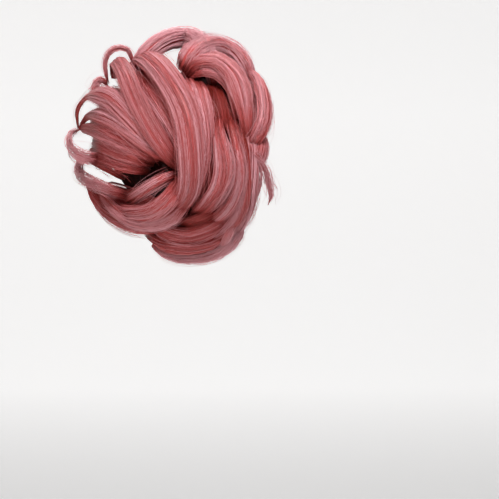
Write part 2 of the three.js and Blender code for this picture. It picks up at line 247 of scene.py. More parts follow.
# Studio, in metres
SKY = {"colour": (1.0, 0.96, 0.94), "strength": 0.16}
FLOOR = {"z": -0.55, "half_width": 4.0, "front": -3.0, "back": 1.2, "wall_top": 1.6}
BEND = {"radius": 0.5, "steps": 12}
FLOOR_COLOUR = (0.72, 0.72, 0.72)
FLOOR_ROUGHNESS = 0.9
GLOW = {"rise": 0.12, "floor": 0.24, "wall": 0.53}
WHITE = (1.0, 1.0, 1.0)
WARM = (1.0, 0.86, 0.78)
LAMPS = [
    # name, azimuth round from the bun's front and elevation in degrees, distance, size, power, colour
    ("key", 44, 46, 0.95, 0.45, 7.8, WHITE),
    ("top_back", 205, 62, 0.9, 0.5, 6.5, WHITE),
    ("front_fill", 5, -4, 1.3, 0.9, 3.4, WARM),
]

# Picture and camera
PICTURE_SIDE = 499.0  # in pixels
BUN_COLUMN = 183.5  # pixel column and row of the bun's centre
BUN_ROW = 145.0
PIXEL = 0.65  # millimetres that a pixel covers at the bun
SENSOR_WIDTH = 36.0  # in millimetres
CLIP = (0.05, 20.0)  # in metres

# How the hair of a lock lies: strands for each millimetre of girth, width of a ribbon, spread of tone
# and of height between ribbons, mean tint, share of stray strands, and the reach from the bun's centre
# where the painted shade is deepest and where the painted light is palest. The mean tint is partly
# painted: lower, as painted shade, for a kind of lock that stands in shade and for locks deep in clefts,
# and higher, as painted light, for the top arch and the bottom rim, and a little higher for the fan.
KIND_COLUMNS = ("strands", "ribbon", "tone", "height", "tint", "strays", "deep", "raised")
KINDS = {
    "front": (8.0, 2.2, 0.12, 0.04, 0.54, 0.06, 58.0, 72.0),
    "dusky": (8.0, 2.2, 0.11, 0.04, 0.43, 0.06, 58.0, 74.0),
    "parted": (8.0, 3.0, 0.27, 0.09, 0.57, 0.06, 57.0, 71.0),
    "fan": (8.0, 3.0, 0.22, 0.07, 0.62, 0.06, 54.0, 69.0),
    "crown": (7.0, 2.2, 0.08, 0.02, 0.96, 0.12, 48.0, 62.0),
    "loop": (7.0, 2.2, 0.11, 0.03, 0.66, 0.12, 56.0, 68.0),
    "fuzz": (4.0, 2.2, 0.16, 0.05, 0.56, 0.45, 58.0, 72.0),
    "under": (4.6, 2.2, 0.16, 0.05, 0.30, 0.03, 58.0, 72.0),
    "rear": (5.5, 2.6, 0.16, 0.06, 0.52, 0.06, 44.0, 62.0),
}

# One row for each lock, as in the part's source. side is where the lock is seen from, in degrees round
# from the bun's front; across and height are where it runs, seen from there. crest and root are its reach
# from the bun's centre along its middle and at both ends. slim is the size of a slim start, as a share of
# the full section. kind says how its hair lies, and body is the size of the dense middle, as a share of
# the section.
LOCKS = [
    # name, side, crest, root, slim, width, thick, kind, body, across, height
    ("front_sweep_1", FACING, 72, 58, 1, 16, 8, "front", 0.84,
     (-33, -25, -12, 1, 5, 4, -8), (50, 57, 46, 22, -5, -28, -46)),
    ("front_sweep_2", FACING, 69, 55, 1, 10, 7, "front", 0.82,
     (2, 7, 11, 12.5, 11, 7, 0), (44, 34, 18, 2, -14, -28, -42)),
    ("front_sweep_3", FACING, 70, 58, 1, 12, 6.5, "dusky", 0.80,
     (-44.8, -43.8, -38, -31, -21.5, -11, -3), (43, 52.5, 47.5, 30, 11, -5, -15)),
    ("front_sweep_4", FACING, 67, 54, 1, 8, 5, "front", 0.80,
     (9, 13, 15.5, 16, 14), (42, 33, 18, 5, -6)),
    ("front_sweep_5", FACING, 64, 53, 1, 14, 7, "front", 0.82,
     (-28, -24, -16, -8, -2, 1), (46, 36, 24, 10, -3, -15)),
    ("side_sweep_1", FACING, 70, 57, 0.5, 18, 7, "dusky", 0.80,
     (42.5, 41.5, 39, 33, 21, 7, 0), (-5, 10, 28, 45, 55, 54, 44)),
    ("side_sweep_2", FACING, 66, 53, 1, 10, 6, "front", 0.80,
     (2, 10, 22, 31.5, 36, 39), (42, 48, 46.5, 37.5, 22, 8)),
    ("side_sweep_3", FACING, 69, 53, 0.55, 13, 7, "parted", 0.84,
     (21, 22.5, 25.5, 27, 24, 17, 7), (30, 11, -3, -15, -27, -37, -46)),
    ("side_sweep_4", FACING, 68, 53, 0.55, 10, 7, "parted", 0.82,
     (28, 31, 34.5, 36.5, 35.5, 31, 22, 9), (30, 13, -1, -15, -26, -38, -47, -51)),
    ("side_sweep_5", FACING, 68, 56, 0.6, 10, 6, "parted", 0.82,
     (33, 36.5, 40, 41, 40, 35, 24, 8, -8), (24, 11, -3, -18, -33, -47, -58, -63, -61)),
    ("side_sweep_6", FACING, 66, 56, 1, 11, 7, "parted", 0.82,
     (42, 44, 45, 44, 42, 37, 28), (18, 5, -10, -25, -40, -52, -62)),
    ("side_sweep_7", FACING, 66, 58, 1, 10, 6, "front", 0.80,
     (46, 51, 49, 42), (13, 0, -9, -18)),
    ("side_arch_1", FACING, 71, 58, 1, 12, 6.5, "dusky", 0.72,
     (38, 47, 52, 52.5, 48, 41), (50, 44, 31, 16, 5, -3)),
    ("side_arch_2", FACING, 65, 56, 1, 6, 4, "fuzz", 0.60,
     (42, 45, 47, 44, 41), (40, 30, 20, 10, 2)),
    ("fan_lock_1", FACING, 69, 62, 0.4, 13, 5.5, "front", 0.74,
     (-68, -68.5, -64, -55.5, -45, -34, -24, -14), (11, 23, 29.5, 32.5, 28.5, 17, 5.5, -5)),
    ("fan_lock_2", FACING, 67, 60, 0.65, 11, 5.5, "front", 0.74,
     (-67.5, -63.5, -54, -43, -31, -20, -8), (10.5, 17, 19, 14.5, 5.5, -3, -10)),
    ("fan_lock_3", FACING, 65, 57, 0.75, 12, 5.5, "front", 0.78,
     (-66, -60, -50, -39, -27, -15), (11, 10.5, 7.5, 2, -3, -9)),
    ("fan_lock_4", FACING, 64, 54, 1.3, 11, 5.5, "fan", 0.78,
     (-57.5, -51, -42, -31, -19), (3, 0.5, -4, -8, -12)),
    ("fan_lock_5", FACING, 62, 53, 1.3, 10, 5.5, "fan", 0.78,
     (-58, -51, -42, -32, -22), (-4, -7.5, -11.5, -14.5, -17)),
    ("fan_lock_6", FACING, 61, 54, 1, 5, 4, "front", 0.74,
     (-61, -54, -46, -38), (-9, -12.5, -17, -22)),
    ("rim_loop_1", FACING, 70, 60, 1, 3.4, 3.2, "fuzz", 0.12,
     (-48, -50, -47, -41.5, -36, -32), (39.5, 52, 59.5, 62.2, 61, 51)),
    ("rim_loop_2", FACING, 66, 58, 1, 6, 5, "fuzz", 0.5,
     (-51, -55.5, -56, -52.5, -48.5), (29, 33.5, 39.5, 42, 38)),
    ("rim_loop_3", FACING, 75, 55, 1, 4.5, 4, "fuzz", 0.12,
     (-64, -71, -73.5, -70, -62, -53), (11, 9, 2, -4.5, -8, -6)),
    ("rim_loop_4", FACING, 69, 54, 1, 5.5, 5, "fuzz", 0.28,
     (-51, -61, -67, -67, -61, -53, -43, -33), (-12, -9, -11.5, -17.5, -22.5, -26, -30, -33)),
    ("lower_sweep_1", FACING, 66, 55, 1, 7, 5, "parted", 0.78,
     (-2, -14, -27, -40), (-17, -22, -30, -39)),
    ("lower_sweep_2", FACING, 67, 58, 1, 14, 7, "front", 0.84,
     (0, -8, -19, -32, -45), (-20, -34, -43, -45, -39)),
    ("lower_sweep_3", FACING, 67, 56, 1, 12, 7, "parted", 0.82,
     (4, -6, -21, -36, -47, -53), (-30, -46, -51, -48, -39, -30)),
    ("lower_sweep_4", FACING, 67, 60, 1, 11, 7, "dusky", 0.80,
     (-62, -57.5, -49, -38, -27, -14), (-23, -34, -44.5, -51, -54, -55)),
    ("bottom_sweep_1", FACING, 70, 60, 1, 14, 8, "under", 0.82,
     (30, 20, 5, -10, -23), (-54, -63, -66.5, -65, -58)),
    ("bottom_sweep_2", FACING, 71, 62, 1, 15, 9, "crown", 0.80,
     (37, 34, 22, 4, -11, -20), (-48, -60, -69.5, -72.5, -70.5, -64)),
    ("bottom_sweep_3", FACING, 71, 64, 1, 6, 5, "front", 0.76,
     (36, 30, 24, 16), (-45, -57, -66, -72)),
    ("bottom_sweep_4", FACING, 60, 50, 1, 18, 8, "under", 0.86,
     (31, 19, 6, -8), (-34, -46, -51, -52)),
    ("top_arch_1", FACING, 70.5, 56, 1, 17, 13, "crown", 0.70,
     (-31, -27, -19, -8, 3, 12, 18, 20), (44, 54.5, 63, 68.5, 69.5, 65, 53, 40)),
    ("top_arch_2", FACING, 72, 60, 1, 17, 8, "loop", 0.72,
     (-1, 4, 13, 23.5, 32.5, 40, 45), (48, 58, 65, 65.5, 62, 54, 42)),
    ("top_arch_3", 218, 66, 56, 1, 14, 8, "loop", 0.74,
     (-6, -14, -25, -35), (53, 61, 58, 46)),
    ("wisp_1", FACING, 70, 63, 1, 3.5, 3, "fuzz", 0.40,
     (41, 47, 52, 55, 57, 55), (-3, -6, -14, -24, -33, -39)),
    ("under_sweep_1", FACING, 59, 47, 1, 17, 9, "under", 0.86,
     (14, 21, 24, 25), (42, 29, 14, 0)),
    ("under_sweep_2", FACING, 58, 47, 1, 15, 9, "under", 0.86,
     (17, 16, 14, 8), (8, -10, -26, -40)),
    ("under_sweep_3", FACING, 60, 48, 1, 16, 9, "under", 0.86,
     (-35, -30, -22, -10), (47, 42, 30, 12)),
    ("under_sweep_4", FACING, 62, 55, 1, 14, 8, "under", 0.86,
     (-58, -52, -42, -28), (-27, -36, -42, -45)),
    ("under_sweep_5", FACING, 60, 50, 1, 15, 8, "under", 0.86,
     (42, 46, 47, 43), (40, 28, 14, 0)),
    ("under_sweep_6", FACING, 57, 53, 1, 12, 8, "under", 0.86,
     (0, 7, 14, 20), (39, 48, 51, 46)),
    ("under_sweep_7", FACING, 65, 60, 1, 20, 8, "dusky", 0.86,
     (34, 20, 4, -10, -20), (-44, -54, -59, -57, -52)),
    ("rear_sweep_1", -62, 56, 47, 1, 18, 9, "rear", 0.86,
     (34, 10, -14, -28), (38, 46, 44, 26)),
    ("rear_sweep_2", -62, 57, 47, 1, 18, 9, "rear", 0.86,
     (46, 26, 2, -18, -26), (24, 28, 26.5, 16, -4)),
    ("rear_sweep_3", -62, 57, 47, 1, 17, 9, "rear", 0.86,
     (48, 26, 2, -18, -28), (6, 14, 11, -2, -22)),
    ("rear_sweep_4", -62, 57, 47, 1, 17, 9, "rear", 0.86,
     (40, 22, 4, -14, -22), (-38, -34.5, -38, -46, -55)),
    ("rear_sweep_5", -62, 59, 56, 1, 16, 9, "rear", 0.86,
     (32, 16, -2, -14), (-44, -47, -53, -57)),
    ("rear_sweep_6", -62, 57, 47, 1, 10, 8, "rear", 0.86,
     (36, 24, 10, -6, -14), (-11, -7, -8, -9, -11)),
    ("back_sweep_1", 180, 60, 51, 1, 17, 9, "rear", 0.86,
     (-2, 16, 36, 50, 54), (40, 38, 30, 16, -4)),
    ("back_sweep_2", 180, 61, 52, 1, 17, 9, "rear", 0.86,
     (54, 46, 24, -4), (0, -28, -48, -56)),
    ("back_sweep_3", 180, 61, 52, 1, 17, 9, "rear", 0.86,
     (-2, -28, -46, -54), (-58, -50, -30, -4)),
    ("back_sweep_4", 180, 61, 52, 1, 17, 9, "rear", 0.86,
     (-54, -50, -34, -6), (0, 26, 46, 51)),
]
COLUMNS = ("name", "side", "crest", "root", "slim", "width", "thick", "kind", "body", "across", "height")


def unit(v):
    """Vectors at length 1."""
    return v / np.maximum(np.linalg.norm(v, axis=-1, keepdims=True), TINY)


def smooth(x, low, high):
    """A soft step from 0 at low to 1 at high."""
    s = np.clip((x - low) / (high - low), 0.0, 1.0)
    return s * s * (3.0 - 2.0 * s)


def mix(low, high, share):
    """The value at a share of the way from low to high."""
    return low + (high - low) * share


def away_from_bun(azimuth, elevation):
    """The direction out of the bun at an azimuth round from its front and an elevation, in degrees."""
    a = math.radians(azimuth)
    e = math.radians(elevation)
    return np.array([math.sin(a) * math.cos(e), -math.cos(a) * math.cos(e), math.sin(e)])


def to_the_right(azimuth):
    """The direction to the right, for an eye that looks at the bun from an azimuth."""
    a = math.radians(azimuth)
    return np.array([math.cos(a), math.sin(a), 0.0])


def bun_point(clock, polar, reach):
    """A point of the bun, from its angles and its reach from the centre."""
    c = np.radians(clock)
    p = np.radians(polar)
    forward = np.where(np.cos(p) > 0, np.cos(p), np.cos(p) * BACK_FLATTEN)
    across = np.sin(p)
    offset = np.stack([across * np.cos(c), -forward, across * np.sin(c)], axis=-1)
    return CENTRE + offset * reach[..., None]


def swell(clock, polar):
    """How much fuller the under-layer is at these angles."""
    rising = smooth(polar, SWELL_POLAR["start"], SWELL_POLAR["full"])
    falling = smooth(polar, SWELL_POLAR["end"], SWELL_POLAR["gone"])
    apart = (clock - TOP_NOTCH["clock"]) % 360
    apart = np.minimum(apart, 360 - apart)
    return CORE_SWELL * (rising - falling) * smooth(apart, TOP_NOTCH["half"] / 2, TOP_NOTCH["half"])


def reach_of(offset):
    """How far an offset reaches from the bun's centre, counted on its flattened back as in front."""
    stretch = np.where(offset[..., 1:2] > 0, [1, 1 / BACK_FLATTEN, 1], [1, 1, 1])
    return np.linalg.norm(offset * stretch, axis=-1)


def station(side, across, height, reach):
    """The point at a reach that is seen at across and height from a side; the outline if it lies beyond."""
    right = to_the_right(side)
    back = away_from_bun(side, VIEW_RISE)
    flat = right * across + np.cross(back, right) * height
    tries = np.arange(-DEPTH_LIMIT, DEPTH_LIMIT + DEPTH_STEP / 2, DEPTH_STEP)[:, None]
    offsets = flat * (1 - tries / VIEW_DISTANCE) + back * tries
    reaches = reach_of(offsets)
    near = np.argmin(reaches)
    within = np.flatnonzero(reaches[near:] <= reach)
    return CENTRE + offsets[near + (within[-1] if len(within) else 0)]


def curve(stations, t):
    """A centripetal Catmull-Rom curve through stations."""
    p = np.array(stations)
    p = np.concatenate([[2 * p[0] - p[1]], p, [2 * p[-1] - p[-2]]])
    count = len(p) - 3
    spot = np.clip(t * count, 0, count - TINY)
    i = spot.astype(int)
    w = (spot - i)[:, None]
    p0, p1, p2, p3 = (p[i + k] for k in range(4))
    spans = (p1 - p0, p2 - p1, p3 - p2)
    d0, d1, d2 = (np.sqrt(np.linalg.norm(span, axis=1, keepdims=True)) for span in spans)
    m1 = ((p1 - p0) / d0 - (p2 - p0) / (d0 + d1) + (p2 - p1) / d1) * d1
    m2 = ((p2 - p1) / d1 - (p3 - p1) / (d1 + d2) + (p3 - p2) / d2) * d1
    c2 = -3 * p1 + 3 * p2 - 2 * m1 - m2
    c3 = 2 * p1 - 2 * p2 + m1 + m2
    return p1 + m1 * w + c2 * w ** 2 + c3 * w ** 3


def carried_up(line, along):
    """The way out of the bun along a line, carried without twist from its middle to both ends."""
    middle = len(line) // 2
    up = np.zeros_like(line)
    up[middle] = unit(line[middle] - CENTRE)
    for i in range(middle, len(line) - 1):
        up[i + 1] = unit(up[i] - along[i + 1] * np.dot(up[i], along[i + 1]))
    for i in range(middle, 0, -1):
        up[i - 1] = unit(up[i] - along[i - 1] * np.dot(up[i], along[i - 1]))
    return up


def lock_frame(row):
    """Middle line, length and half sizes of a lock's section, at even steps of its length."""
    rise = 1 - np.abs(np.linspace(-1, 1, len(row["across"]))) ** RISE_POWER
    reach = mix(row["root"], row["crest"], rise)
    stations = [station(row["side"], *s) for s in zip(row["across"], row["height"], reach)]
    fine = curve(stations, np.linspace(0, 1, CURVE_STEPS))
    steps = np.linalg.norm(np.diff(fine, axis=0), axis=1)
    way = np.concatenate([[0.0], np.cumsum(steps)])
    even = np.linspace(0, way[-1], FRAME_STEPS)
    line = np.stack([np.interp(even, way, fine[:, i]) for i in range(3)], -1)
    along = unit(np.gradient(line, axis=0))
    across = unit(np.cross(carried_up(line, along), along))
    up = np.cross(along, across)
    share = np.linspace(0, 1, FRAME_STEPS)
    size = mix(END_SHARE, 1, np.sqrt(np.abs(np.sin(math.pi * share))))
    size = size * mix(row["slim"], 1, smooth(share, SLIM_PART["end"], SLIM_PART["full"]))
    return {
        "line": line,
        "across": across * (row["width"] / 2 * size)[:, None],
        "up": up * (row["thick"] / 2 * size)[:, None],
        "length": way[-1],
    }


def at(values, share):
    """Values of a lock's frame at shares of its length."""
    spot = np.clip(share, 0.0, 1.0) * (FRAME_STEPS - 1)
    i = np.minimum(spot.astype(int), FRAME_STEPS - 2)
    w = (spot - i)[..., None]
    return values[i] * (1 - w) + values[i + 1] * w


def girth_of(row):
    """About how far it is round a lock."""
    return math.pi * (row["width"] + row["thick"]) / 2


def waves(rng, count, share, low, high):
    """One slow wave for each strand, along shares of the length."""
    pace = rng.uniform(low, high, count)[:, None]
    return np.sin(FULL_TURN * (pace * share + rng.random(count)[:, None]))


def section(turn):
    """A point of the full rounded section, from its angle."""
    c = np.cos(turn)
    s = np.sin(turn)
    return np.sign(c) * np.abs(c) ** SECTION_POWER, np.sign(s) * np.abs(s) ** SECTION_POWER


def tints(rng, count, mean, spread):
    """Tints of strands, from deep to pale."""
    return np.sort(np.clip(rng.normal(mean, spread, count), 0, 1))


def ladder(first, second):
    """Corners of the quads between two lines, for values by strand and station."""
    return np.stack([first[:, :-1], second[:, :-1], second[:, 1:], first[:, 1:]], 2)


def cells(grid):
    """Corners of the quads of a grid."""
    return np.stack([grid[:-1, :-1], grid[:-1, 1:], grid[1:, 1:], grid[1:, :-1]], 2)


def pairs(u, v):
    """Map places from both coordinates."""
    return np.stack(np.broadcast_arrays(u, v), -1)


class Batch:
    """Points, faces and map places of one piece, gathered from tubes and bodies."""

    def __init__(self):
        self.points = []
        self.tint = []
        self.depth = []
        self.flow = []
        self.faces = []
        self.count = 0

    def add_points(self, points, tint, depth, flow):
        """Points with their tint, their painted light and shade, and their places on the streak map."""
        points = points.reshape(-1, 3)
        self.points.append(points)
        self.tint.append(np.broadcast_to(tint, len(points)))
        self.depth.append(np.broadcast_to(depth, len(points)))
        self.flow.append(flow.reshape(-1, 2))
        self.count += len(points)

    def tubes(self, paths, up, radii, tint, depth, rows):
        """Closed tubes along paths (strand, station, xyz); rows is their band of the bake map."""
        n, s, _ = paths.shape
        share = np.linspace(0, 1, s)
        along = unit(np.gradient(paths, axis=1))
        side = unit(np.cross(along, up))
        top = np.cross(side, along)
        taper = np.clip(np.minimum(share, 1 - share) * TIP["growth"] + TIP["least"], 0, 1)
        radius = (radii[:, None] * taper)[..., None]
        corners = []
        for j in range(TUBE_SIDES):
            a = math.pi / 2 + j * FULL_TURN / TUBE_SIDES
            corners.append(paths + (side * math.cos(a) + top * math.sin(a)) * radius)
        index = self.count + np.arange(n * s * TUBE_SIDES).reshape(n, s, TUBE_SIDES)
        length = np.linalg.norm(np.diff(paths, axis=1), axis=2).sum(1)
        flow = pairs(share * length[:, None] / FLOW_LENGTH, tint[:, None] * STRAND_FLOW)
        self.add_points(np.stack(corners, axis=2), np.repeat(tint, s * TUBE_SIDES),
                        np.repeat(depth, TUBE_SIDES), np.repeat(flow.reshape(-1, 2), TUBE_SIDES, axis=0))

        low, high = rows
        strip = (high - low) / n
        start = (low + strip * np.arange(n))[:, None]
        u = mix(MAP_EDGE, 1 - MAP_EDGE, share)
        quads = []
        places = []
        for j in range(TUBE_SIDES):
            quads.append(ladder(index[..., j], index[..., (j + 1) % TUBE_SIDES]))
            edges = [pairs(u, start + strip * (STRIP_MARGIN + SIDE_STRIP * k)) for k in (j, j + 1)]
            places.append(ladder(*edges))
        quads = np.stack(quads, axis=2).reshape(-1, 4)
        self.faces.append((quads, np.stack(places, axis=2).reshape(-1, 4, 2)))
        cap = np.array([(0, 0), (CAP_MAP["width"], 0), (0, strip * CAP_MAP["height"])])
        for ends, edge in ((index[:, 0, ::-1], MAP_EDGE), (index[:, -1], 1 - MAP_EDGE)):
            self.faces.append((ends, pairs(edge, start + strip / 2) + cap))

    def sheet(self, grid, tint, depth, flow, rows, capped):
        """A body from a grid of points (ring, side, xyz), closed round its sides."""
        r, s, _ = grid.shape
        index = self.count + np.arange(r * s).reshape(r, s)
        around = np.concatenate([index, index[:, :1]], 1)
        self.add_points(grid, tint, depth, flow)
        low, high = rows
        u = np.linspace(MAP_EDGE, 1 - MAP_EDGE, r)[:, None]
        places = pairs(u, np.linspace(low, high, s + 1))
        self.faces.append((cells(around).reshape(-1, 4), cells(places).reshape(-1, 4, 2)))
        if not capped:
            return
        second, third = (mix(low, high, share) for share in FAN_MAP)
        for ring, edge, inward in ((index[0, ::-1], MAP_EDGE, 1), (index[-1], 1 - MAP_EDGE, -1)):
            fan = np.stack([np.full(s - 2, ring[0]), ring[1:-1], ring[2:]], -1)
            cap = [(edge, low), (edge, second), (edge + inward * CAP_MAP["width"], third)]
            self.faces.append((fan, np.broadcast_to(cap, (s - 2, 3, 2))))

    def body(self, points, triangles, tint, depth, flow, rows):
        """A body given by its own points and triangles, laid flat on the bake map."""
        flat = (points - points.min(0)) / np.ptp(points, axis=0)
        places = pairs(flat[:, 0], mix(*rows, flat[:, 2]))
        self.faces.append((triangles + self.count, places[triangles]))
        self.add_points(points, tint, depth, flow)

    def build(self, name, material):
        """The piece as an object."""
        points = np.concatenate(self.points) * MM
        loops = np.concatenate([f.ravel() for f, _ in self.faces])
        sizes = np.concatenate([np.full(len(f), f.shape[1]) for f, _ in self.faces])
        starts = np.concatenate([[0], np.cumsum(sizes)[:-1]])
        mesh = bpy.data.meshes.new(name)
        mesh.vertices.add(len(points))
        mesh.vertices.foreach_set("co", points.astype(np.float32).ravel())
        mesh.loops.add(len(loops))
        mesh.loops.foreach_set("vertex_index", loops.astype(np.int32))
        mesh.polygons.add(len(sizes))
        mesh.polygons.foreach_set("loop_start", starts.astype(np.int32))
        mesh.polygons.foreach_set("use_smooth", np.ones(len(sizes), bool))
        mesh.update(calc_edges=True)
        flow = np.concatenate(self.flow)[loops]
        places = np.concatenate([p.reshape(-1, 2) for _, p in self.faces])
        for layer, values in (("Flow", flow), ("OFBake", places)):
            made = mesh.uv_layers.new(name=layer)
            made.data.foreach_set("uv", values.astype(np.float32).ravel())
        for layer, values in (("Tint", self.tint), ("Depth", self.depth)):
            made = mesh.attributes.new(layer, "FLOAT", "POINT")
            made.data.foreach_set("value", np.concatenate(values).astype(np.float32))
        mesh.validate()
        mesh.materials.append(material)
        piece = bpy.data.objects.new(name, mesh)
        bpy.context.scene.collection.objects.link(piece)
        return piece


def look_of(kind):
    """How the hair of a kind of lock lies, by column."""
    return dict(zip(KIND_COLUMNS, KINDS[kind]))


def depth_of(points, kind):
    """Painted light and shade by reach: 0 is painted shade deep in the bun, 1 painted light at the raised
    parts.
    """
    look = look_of(kind)
    return smooth(reach_of(points - CENTRE), look["deep"], look["raised"])


def near_ends(share):
    """How far from a lock's ends, from 0 at an end to 1."""
    return smooth(np.minimum(share, 1 - share), 0.0, NEAR_END)


def slim_shade(row, share):
    """A lock with a slim start comes out of a cleft, so it gets painted shade there."""
    return smooth(share, *SLIM_PAINTED_SHADE) if row["slim"] <= SLIM_MOST else np.ones_like(share)


def lay_ribbons(girth, look, rng):
    """Ribbons of strands round a lock's section, most of them on the side that shows."""
    count = max(RIBBON["fewest"], round(girth / look["ribbon"]))
    showing = max(RIBBON["fewest_showing"], round(count * RIBBON["showing"]))
    past = RIBBON["past_edge"]
    inside = RIBBON["inside_edge"]
    front = np.linspace(-past, math.pi + past, showing)
    back = np.linspace(math.pi + inside, FULL_TURN - inside, count - showing)
    return {
        "middle": np.concatenate([front, back]) + rng.normal(0, RIBBON["drift"], count),
        "width": FULL_TURN / count * rng.uniform(*RIBBON["width"], count),
        "tone": rng.normal(0, look["tone"], count),
        "swing": rng.normal(0, RIBBON["swing"], count),
        "height": rng.normal(0, look["height"], count),
    }


def lock_strands(made, row, lock, rng):
    """Fine strands in uneven ribbons over the lock."""
    kind = row["kind"]
    look = look_of(kind)
    girth = girth_of(row)
    n = int(girth * look["strands"])
    stations = np.clip(round(lock["length"] / STATION_LENGTH) + 1, FEWEST_STATIONS, MOST_STATIONS)
    share = np.linspace(0, 1, int(stations))
    from_cleft = row["slim"] < 1 and kind in CLEFT_KINDS
    first = rng.uniform(0.0, CLEFT_RAGGED if from_cleft else RAGGED, n)[:, None]
    last = 1 - rng.uniform(0.0, RAGGED, n)[:, None]
    t = mix(first, last, share)

    # each strand's ribbon, and its place in it from one edge to the other
    ribbons = lay_ribbons(girth, look, rng)
    count = len(ribbons["middle"])
    own = rng.integers(0, count, n)
    ribbon = {key: values[own][:, None] for key, values in ribbons.items()}
    place = rng.uniform(-1, 1, n)[:, None]
    phase = rng.random(count)[own][:, None]
    ribbon_wave = np.sin(FULL_TURN * (RIBBON["swing_pace"] * t + phase))

    # the strand's angle round the section
    pinch = 1 + RIBBON["pinch"] * waves(rng, n, t, *RIBBON["pinch_pace"])
    angle = ribbon["middle"] + ribbon["swing"] * ribbon_wave + ribbon["width"] / 2 * place * pinch
    stray = rng.random(n) < look["strays"]
    turn = np.where(stray, rng.normal(0, STRAY["turn"], n), 0.0)[:, None]
    angle = angle + turn * waves(rng, n, t, *STRAY["turn_pace"])

    # its distance from the middle, as a share of the section
    size = RIBBON["reach"] - RIBBON["rounding"] * place ** 2 + ribbon["height"] * (1 + ribbon_wave)
    unrest = rng.normal(0, STRAND["unrest"], n)[:, None]
    size = size + unrest * waves(rng, n, t, *STRAND["unrest_pace"])
    lift = np.where(stray, rng.uniform(*STRAY["lift"], n), 0.0)[:, None]
    size = size + lift * np.sin(math.pi * share) ** STRAY["bow"]
    if kind in OPEN_KINDS:
        size = size * np.sqrt(rng.uniform(*OPEN_FILL, n))[:, None]
    if kind == "fuzz":
        fill = rng.uniform(*FUZZ["fill"], n)[:, None]
        size = size * fill + FUZZ["wave"] * waves(rng, n, t, *FUZZ["wave_pace"])
        size = size * mix(FUZZ["end"], 1, near_ends(t))

    x, y = section(angle)
    offset = at(lock["across"], t) * (x * size)[..., None] + at(lock["up"], t) * (y * size)[..., None]
    paths = at(lock["line"], t) + offset
    tint = look["tint"] + ribbon["tone"][:, 0] + rng.normal(0, STRAND["tone"], n)
    # a strand near its ribbon's edge is deeper, as painted shade between ribbons
    tint = np.clip(tint - RIBBON["edge_painted_shade"] * place[:, 0] ** 2, 0, 1)
    radii = HAIR_RADIUS * rng.uniform(*RADIUS_SPREAD, n) * np.where(stray, STRAY["radius"], 1.0)
    # painted shade deep in the bun, near the lock's ends and at a slim start; painted light where raised
    depth = depth_of(paths, kind) * mix(*STRAND_PAINTED_LIGHT, near_ends(t)) * slim_shade(row, t)
    order = np.argsort(tint)
    out = unit(offset + TINY)
    made.tubes(paths[order], out[order], radii[order], tint[order], depth[order], STRAND_ROWS)


def lock_body(made, row, lock):
    """The dense middle of a lock."""
    rings = max(BODY["fewest_rings"], int(lock["length"] / BODY["ring_length"]))
    share = np.linspace(0.0, 1.0, rings)
    turn = np.linspace(0, FULL_TURN, BODY["sides"], endpoint=False)
    x, y = (row["body"] * v[:, None] for v in section(turn))
    line, across, up = (at(lock[key], share)[:, None] for key in ("line", "across", "up"))
    grid = line + across * x + up * y
    flow = pairs((share * lock["length"] / FLOW_LENGTH)[:, None],
                 turn * girth_of(row) / BODY_FLOW["round"] + BODY_FLOW["start"])
    # painted shade towards the ends and at a slim start
    shade = mix(*BODY["depth"], near_ends(share)) * slim_shade(row, share)
    depth = depth_of(grid, row["kind"]) * shade[:, None]
    made.sheet(grid, BODY["tint"], depth.ravel(), flow, BODY_ROWS, capped=True)


def lock_piece(row, seed, material):
    """A lock: strands round a dense middle, in the lock's own form."""
    made = Batch()
    lock = lock_frame(row)
    lock_strands(made, row, lock, np.random.default_rng(seed))
    lock_body(made, row, lock)
    piece = made.build(row["name"] + "_hair", material)
    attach(piece, "root")
    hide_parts(row["name"])


def loose_paths(row, rng):
    """Stray hairs that stand off one lock, and the way out of the lock along them."""
    lock = lock_frame(row)
    fuzzy = row["kind"] == "fuzz"
    n = int(lock["length"] * LOOSE["per_mm"] * (FUZZ["loose"] if fuzzy else 1.0))
    share = np.linspace(0, 1, LOOSE["stations"])
    first = rng.uniform(0.0, LOOSE["last_start"], n)[:, None]
    t = first + (1 - first) * rng.uniform(*LOOSE["length"], n)[:, None] * share
    angle = rng.uniform(-LOOSE["past_edge"], math.pi + LOOSE["past_edge"], n)[:, None]
    angle = angle + rng.normal(0, LOOSE["turn"], n)[:, None] * waves(rng, n, t, *LOOSE["turn_pace"])
    lift = rng.gamma(*LOOSE["lift"], n)[:, None] * (FUZZ["loose_lift"] if fuzzy else 1.0)
    lift = lift * np.sin(math.pi * share * rng.uniform(*LOOSE["bow"], n)[:, None])
    sway = rng.normal(0, FUZZ["loose_sway"] if fuzzy else LOOSE["sway"], n)[:, None]
    sway = sway * waves(rng, n, t, *LOOSE["sway_pace"])
    sway = sway + rng.normal(0, LOOSE["splay"], n)[:, None] * (share - 0.5)
    x, y = (v[..., None] for v in section(angle))
    across = at(lock["across"], t)
    surface = across * x + at(lock["up"], t) * y
    out = unit(surface)
    return at(lock["line"], t) + surface + out * lift[..., None] + unit(across) * sway[..., None], out


def loose_piece(rows, material):
    """The loose hairs of all the locks but the shaded ones."""
    rng = np.random.default_rng(LOOSE["seed"])
    hairs = [loose_paths(row, rng) for row in rows if row["kind"] != "under"]
    paths, out = (np.concatenate(values) for values in zip(*hairs))
    n = len(paths)
    tint = tints(rng, n, *LOOSE["tint"])
    radii = LOOSE["radius"] * rng.uniform(*LOOSE["radius_spread"], n)
    made = Batch()
    # painted light and shade by reach, as on the front locks
    made.tubes(paths, out, radii, tint, depth_of(paths, "front"), LOOSE_ROWS)
    piece = made.build("loose_hair", material)
    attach(piece, "root")


